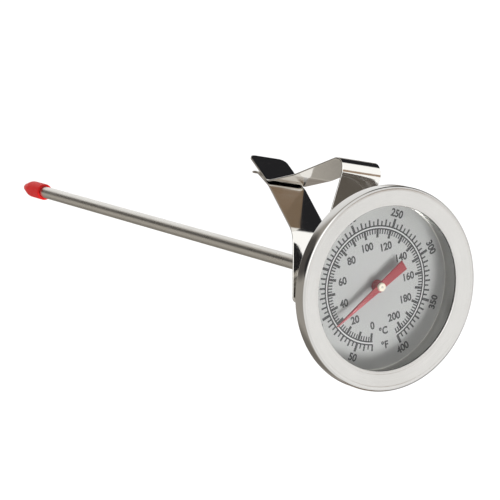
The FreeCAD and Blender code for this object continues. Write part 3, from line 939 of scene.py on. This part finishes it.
def strip_half_width(travel, length):
    """Half the strip's width at a distance along it, with round corners at both ends."""
    inset = min(travel, length - travel)
    if inset >= CLIP_CORNER:
        return CLIP_WIDTH / 2
    drop = CLIP_CORNER - math.sqrt(CLIP_CORNER ** 2 - (CLIP_CORNER - inset) ** 2)
    return CLIP_WIDTH / 2 - drop


def make_clip_mesh():
    """The strip as a solid: width across, thickness along the path's normal, eased long edges."""
    stations = bent_path(CLIP_PATH, CLIP_BENDS, CLIP_SPACING)
    travels = [0.0]
    for first, second in zip(stations, stations[1:]):
        travels.append(travels[-1] + (second[0] - first[0]).length * MM)
    length = travels[-1]
    dense = []
    for number, (first, second) in enumerate(zip(stations, stations[1:])):
        begin, finish = travels[number], travels[number + 1]
        cuts = END_CUTS if begin < CLIP_CORNER or finish > length - CLIP_CORNER else 1
        for cut in range(cuts):
            share = cut / cuts
            spot = first[0].lerp(second[0], share)
            heading = first[1].lerp(second[1], share).normalized()
            dense.append((spot, heading, begin + share * (finish - begin)))
    dense.append((stations[-1][0], stations[-1][1], length))
    across = [-1.0, -0.6, -0.2, 0.2, 0.6, 1.0]
    thick = CLIP_SHEET / 2
    edge = thick - CLIP_EASE
    mesh = bmesh.new()
    rows = []
    for spot, heading, travel in dense:
        half = strip_half_width(travel, length)
        normal = Vector((-heading.y, heading.x))
        centre = Vector((spot.x * MM, spot.y * MM))
        section = [(share * (half - CLIP_EASE), thick) for share in across]
        section += [(half, edge), (half, -edge)]
        section += [(share * (half - CLIP_EASE), -thick) for share in reversed(across)]
        section += [(-half, -edge), (-half, edge)]
        loop = []
        for sideways, lift in section:
            at = centre + normal * lift
            loop.append(mesh.verts.new((at.x, sideways, at.y)))
        rows.append(loop)
    count = len(rows[0])
    for row, following in zip(rows, rows[1:]):
        for number in range(count):
            ahead = (number + 1) % count
            mesh.faces.new((row[number], row[ahead], following[ahead], following[number]))
    mesh.faces.new(rows[0])
    mesh.faces.new(list(reversed(rows[-1])))
    bmesh.ops.recalc_face_normals(mesh, faces=mesh.faces)
    return settled("pot_clip_strip", mesh)


def pierced(data, radius, low, high):
    """The mesh with a round hole along the stem's axis through all between two heights."""
    mesh = bmesh.new()
    bmesh.ops.create_cone(mesh, cap_ends=True, segments=SLIM_SEGMENTS, radius1=radius,
                          radius2=radius, depth=high - low,
                          matrix=Matrix.Translation((0, 0, (low + high) / 2)))
    strip = bpy.data.objects.new("strip", data)
    punch = bpy.data.objects.new("punch", settled("punch", mesh))
    for piece in (strip, punch):
        bpy.context.scene.collection.objects.link(piece)
    modifier = strip.modifiers.new("hole", "BOOLEAN")
    modifier.object = punch
    modifier.solver = "EXACT"
    bpy.context.view_layer.update()
    evaluated = strip.evaluated_get(bpy.context.evaluated_depsgraph_get())
    cut = bpy.data.meshes.new_from_object(evaluated)
    for piece in (strip, punch):
        bpy.data.objects.remove(piece)
    return cut


def make_spring_steel():
    material, tree, shader = new_material("clip_steel", (0.80, 0.785, 0.76), 1.0, 0.06)
    lines = place_group(tree, DRAWN_LINES, Lines_per_mm=3.0, Stretch=0.1)
    smudge = place_group(tree, HANDLING, Size_mm=5.0)
    link(tree, spread(tree, smudge, 0.05, 0.14), shader.inputs["Roughness"])
    ripple = math_node(tree, "MULTIPLY_ADD", smudge, 6.0, lines)
    raise_bump(tree, shader, ripple, 0.0015 * MM)
    return material


clip_mesh = pierced(make_clip_mesh(), CLIP_HOLE, HOLES_FROM, HOLES_TO)
clip_mesh.transform(Matrix.Rotation(math.radians(90.0 - CLIP_TURN), 4, "Z"))
clip = finished("pot_clip_strip", clip_mesh)
clip.data.materials.clear()
clip.data.materials.append(make_spring_steel())
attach(clip, "clip")
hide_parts("pot_clip")

# ---------------------------------------------------------------------------------------------
# Tip guard. A soft vinyl bullet, dip moulded, pushed on the stem's end.

GUARD_LOW, GUARD_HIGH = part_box("tip_guard")
GUARD_RADIUS = 2.66 * MM
GUARD_BORE = 1.95 * MM
GUARD_TIP = 5.5 * MM
GUARD_NOSE = GUARD_RADIUS * 0.42
NOSE_ROUND = GUARD_NOSE * 0.8
TAPER_LENGTH = GUARD_TIP * 0.95
TAPER_ROUND = GUARD_RADIUS * 3
MOUTH_ROUND = 0.26 * MM


def make_vinyl():
    material, tree, shader = new_material("guard_red", (0.70, 0.008, 0.008), 0.0, 0.5)
    shader.inputs["Specular IOR Level"].default_value = 0.25
    grain = place_group(tree, FINE_GRAIN, Grains_per_mm=2.0, Contrast=1.4)
    vary(tree, shader, grain, (0.62, 0.006, 0.006), (0.78, 0.012, 0.01), 0.4, 0.6)
    raise_bump(tree, shader, grain, 0.02 * MM)
    return material


bottom = GUARD_LOW.z + GUARD_TIP
guard = turned_mesh("tip_guard_skin", rounded([
    (0.0, GUARD_LOW.z, 0.0), (GUARD_NOSE, GUARD_LOW.z, NOSE_ROUND),
    (GUARD_RADIUS, GUARD_LOW.z + TAPER_LENGTH, TAPER_ROUND),
    (GUARD_RADIUS, GUARD_HIGH.z, MOUTH_ROUND), (GUARD_BORE, GUARD_HIGH.z, 0.1 * MM),
    (GUARD_BORE, bottom, 0.2 * MM), (0.0, bottom, 0.0)]), SLIM_SEGMENTS)
guard.data.materials.append(make_vinyl())
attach(guard, "guard")
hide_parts("tip_guard")

# ---------------------------------------------------------------------------------------------
# Studio. A pale floor below the guard, one large soft key light, an even fill, and a surround
# of soft bright and dark panels that only the polished surfaces pick up.

FLOOR_GAP = 20.0 * MM
FLOOR_REACH = 30.0
floor_height = cad_box[0][2] - FLOOR_GAP
floor_mesh = bpy.data.meshes.new("floor")
floor_mesh.from_pydata(
    [(x * FLOOR_REACH, y * FLOOR_REACH, floor_height)
     for x, y in ((-1, -1), (1, -1), (1, 1), (-1, 1))], [], [(0, 1, 2, 3)])
floor = bpy.data.objects.new("floor", floor_mesh)
bpy.context.scene.collection.objects.link(floor)
floor.data.materials.append(new_material("floor_white", (0.92, 0.92, 0.92), 0.0, 0.9)[0])
floor.visible_glossy = False

KEY_DIRECTION = (0.605, -1.373, 2.05)
KEY_STRENGTH = 2.37
KEY_SPREAD = 24.0
FILL = 0.58
SKY = (1.2, 1.2, 1.18)
GROUND = (0.50, 0.47, 0.42)
HORIZON_FROM = -0.1
HORIZON_TO = 0.15
# Each panel: azimuth and elevation of its middle, the angles from it within which it is full
# and beyond which it is gone, all in degrees, and its colour. A later one covers an earlier one.
PANELS = [
    (50.0, -62.0, 18.0, 31.0, (1.15, 1.15, 1.13)),
    (139.0, -57.0, 10.0, 19.0, (0.12, 0.11, 0.10)),
    (260.0, -57.0, 8.0, 25.0, (0.26, 0.24, 0.21)),
    (-10.0, -30.0, 18.0, 28.0, (0.10, 0.075, 0.055)),
    (34.0, -22.0, 22.0, 30.0, (0.02, 0.02, 0.022)),
    (-82.0, 10.0, 14.0, 22.0, (0.26, 0.19, 0.13)),
    (-6.0, 56.0, 5.0, 10.0, (0.36, 0.26, 0.18)),
    (146.0, -38.0, 13.0, 16.0, (0.04, 0.04, 0.04)),
    (146.0, -18.0, 13.0, 16.0, (0.05, 0.05, 0.05)),
    (-32.0, -52.0, 13.0, 19.0, (0.16, 0.132, 0.11)),
    (-50.0, -26.0, 15.0, 21.0, (0.08, 0.075, 0.07)),
    (-50.0, 0.0, 15.0, 21.0, (0.12, 0.115, 0.11)),
    (125.0, 48.0, 16.0, 30.0, (2.3, 2.3, 2.25))]

key_light = bpy.data.lights.new("key", "SUN")
key_light.energy = KEY_STRENGTH
key_light.angle = math.radians(KEY_SPREAD)
key = bpy.data.objects.new("key", key_light)
key.matrix_world = Vector(KEY_DIRECTION).to_track_quat("Z", "Y").to_matrix().to_4x4()
key.visible_glossy = False
bpy.context.scene.collection.objects.link(key)

world = bpy.data.worlds.new("studio")
bpy.context.scene.world = world
world.use_nodes = True
sky = world.node_tree
heading = sky.nodes.new("ShaderNodeTexCoord").outputs["Generated"]


def sky_mix(fac, below, above):
    """A colour mix in the surround; each side is a colour or a socket."""
    node = sky.nodes.new("ShaderNodeMix")
    node.data_type = "RGBA"
    link(sky, fac, node.inputs["Factor"])
    for label, value in (("A", below), ("B", above)):
        if isinstance(value, bpy.types.NodeSocket):
            link(sky, value, node.inputs[label])
        else:
            node.inputs[label].default_value = (*value, 1.0)
    return node.outputs["Result"]


def soft_step(value, low, high):
    """0 below the low value and 1 above the high one, with a smooth rise between."""
    node = sky.nodes.new("ShaderNodeMapRange")
    node.interpolation_type = "SMOOTHSTEP"
    node.inputs["From Min"].default_value = low
    node.inputs["From Max"].default_value = high
    link(sky, value, node.inputs["Value"])
    return node.outputs["Result"]


def facing(azimuth, elevation):
    """How nearly a direction in the surround is the given one: 1 when it is."""
    flat = math.cos(math.radians(elevation))
    node = sky.nodes.new("ShaderNodeVectorMath")
    node.operation = "DOT_PRODUCT"
    link(sky, heading, node.inputs[0])
    node.inputs[1].default_value = (flat * math.cos(math.radians(azimuth)),
                                    flat * math.sin(math.radians(azimuth)),
                                    math.sin(math.radians(elevation)))
    return node.outputs["Value"]


surround = sky_mix(soft_step(facing(0.0, 90.0), HORIZON_FROM, HORIZON_TO), GROUND, SKY)
for azimuth, elevation, within, beyond, colour in PANELS:
    fade = soft_step(facing(azimuth, elevation), math.cos(math.radians(beyond)),
                     math.cos(math.radians(within)))
    surround = sky_mix(fade, surround, colour)
paths = sky.nodes.new("ShaderNodeLightPath")
surround = sky_mix(paths.outputs["Is Glossy Ray"], (FILL, FILL, FILL), surround)
surround = sky_mix(paths.outputs["Is Camera Ray"], surround, (1.0, 1.0, 1.0))
link(sky, surround, sky.nodes["Background"].inputs["Color"])
world.cycles.sampling_method = "NONE"

VIEW_AZIMUTH = -119.438
VIEW_ELEVATION = 57.640
VIEW_ROLL = 105.751
VIEW_DISTANCE = 0.53939
VIEW_LENS = 140.935
AIM = Vector((0.0, 0.0, -58.6 * MM))
azimuth, elevation, roll = (
    math.radians(turn) for turn in (VIEW_AZIMUTH, VIEW_ELEVATION, VIEW_ROLL))
outward = math.cos(elevation)
back = Vector((math.sin(azimuth) * outward, -math.cos(azimuth) * outward, math.sin(elevation)))
level = Vector((math.cos(azimuth), math.sin(azimuth), 0.0))
upward = back.cross(level)
right = level * math.cos(roll) + upward * math.sin(roll)
above = back.cross(right)
camera_data = bpy.data.cameras.new("camera")
camera_data.lens = VIEW_LENS
camera_data.clip_start = 0.01
camera_data.clip_end = 100.0
camera = bpy.data.objects.new("camera", camera_data)
camera.matrix_world = Matrix.Translation(AIM + back * VIEW_DISTANCE) @ Matrix(
    (right, above, back)).transposed().to_4x4()
bpy.context.scene.collection.objects.link(camera)
bpy.context.scene.camera = camera
bpy.context.scene.view_settings.view_transform = "Standard"
